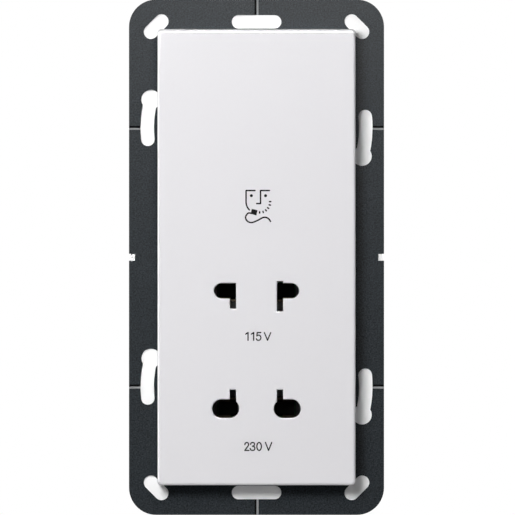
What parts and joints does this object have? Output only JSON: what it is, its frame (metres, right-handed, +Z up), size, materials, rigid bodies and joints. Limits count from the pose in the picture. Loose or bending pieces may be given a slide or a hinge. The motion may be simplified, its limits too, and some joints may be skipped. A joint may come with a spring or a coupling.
{
  "type": "flush-mounted shaver socket",
  "caption": "Flush-mounted shaver socket for a vertical wall box: white cover with a 115 V and a 230 V outlet, steel carrier frame, isolating transformer and plug-operated interlock behind.",
  "frame": {"origin": "centre of the carrier frame's back face, in the wall plane", "axes": "+Z up along the frame, +X to the right as seen from the room, -Y out of the wall into the room"},
  "size_m": [0.07, 0.0535, 0.1414],
  "materials": {
    "frame_steel": "fine-grained slate grey coating",
    "cover_white": "glossy pure white",
    "base_black": "fine-grained black moulding",
    "housing_grey": "fine-grained grey moulding",
    "interlock_black": "black acetal",
    "retainer_grey": "matt grey moulding",
    "screw_steel": "bright zinc plate",
    "spring_steel": "rolled strip",
    "contact_bronze": "dull phosphor bronze strip",
    "board_laminate": "green solder mask",
    "switch_black": "satin moulding",
    "cutout_orange": "dipped coating",
    "fuse_brown": "moulded cap",
    "core_steel": "varnished laminations",
    "bobbin_nylon": "glass-filled nylon",
    "winding_copper": "enamelled copper wire",
    "terminal_grey": "moulded nylon",
    "clamp_steel": "nickel plate",
    "lead_brown": "wire insulation",
    "lead_blue": "wire insulation",
    "lead_black": "wire insulation",
    "lead_yellow": "wire insulation",
    "lead_red": "wire insulation"
  },
  "bodies": {
    "main": {"carrier_frame": "frame_steel", "cover_plate": "cover_white", "socket_base": "base_black", "rear_housing": "housing_grey", "housing_screws": "screw_steel", "contact_115_left": "contact_bronze", "contact_115_right": "contact_bronze", "contact_230_left": "contact_bronze", "contact_230_right": "contact_bronze", "contact_retainer": "retainer_grey", "retainer_screws": "screw_steel", "centring_spring": "spring_steel", "rocker_axle": "screw_steel", "switch_case": "switch_black", "switch_pins": "clamp_steel", "circuit_board": "board_laminate", "board_screws": "screw_steel", "overload_cutout": "cutout_orange", "mains_fuse": "fuse_brown", "core_e_stack": "core_steel", "core_i_stack": "core_steel", "coil_bobbin": "bobbin_nylon", "primary_winding": "winding_copper", "secondary_winding": "winding_copper", "core_bolts": "screw_steel", "terminal_block": "terminal_grey", "terminal_screws": "screw_steel", "clamp_live": "clamp_steel", "clamp_earth": "clamp_steel", "clamp_neutral": "clamp_steel", "lead_primary_live": "lead_brown", "lead_primary_neutral": "lead_blue", "lead_secondary_common": "lead_black", "lead_secondary_115": "lead_yellow", "lead_secondary_230": "lead_red"},
    "rocker": {"interlock_rocker": "interlock_black"},
    "slider": {"switch_slider": "interlock_black"}
  },
  "joints": [
    {"name": "rocker_tilt", "type": "hinge", "parent": "main", "child": "rocker", "pos_m": [0, 0.0185, -0.02535], "axis": [1, 0, 0], "range_deg": [-8.9, 8.9], "stiffness_Nm_per_rad": 0.05, "deforming": ["centring_spring"]},
    {"name": "slider_shift", "type": "slide", "parent": "main", "child": "slider", "axis": [0, 0, 1], "range_m": [-0.00087, 0.00087]}
  ],
  "couplings": [
    {"joint": "slider_shift", "follows": "rocker_tilt", "m_per_rad": 0.0055}
  ]
}
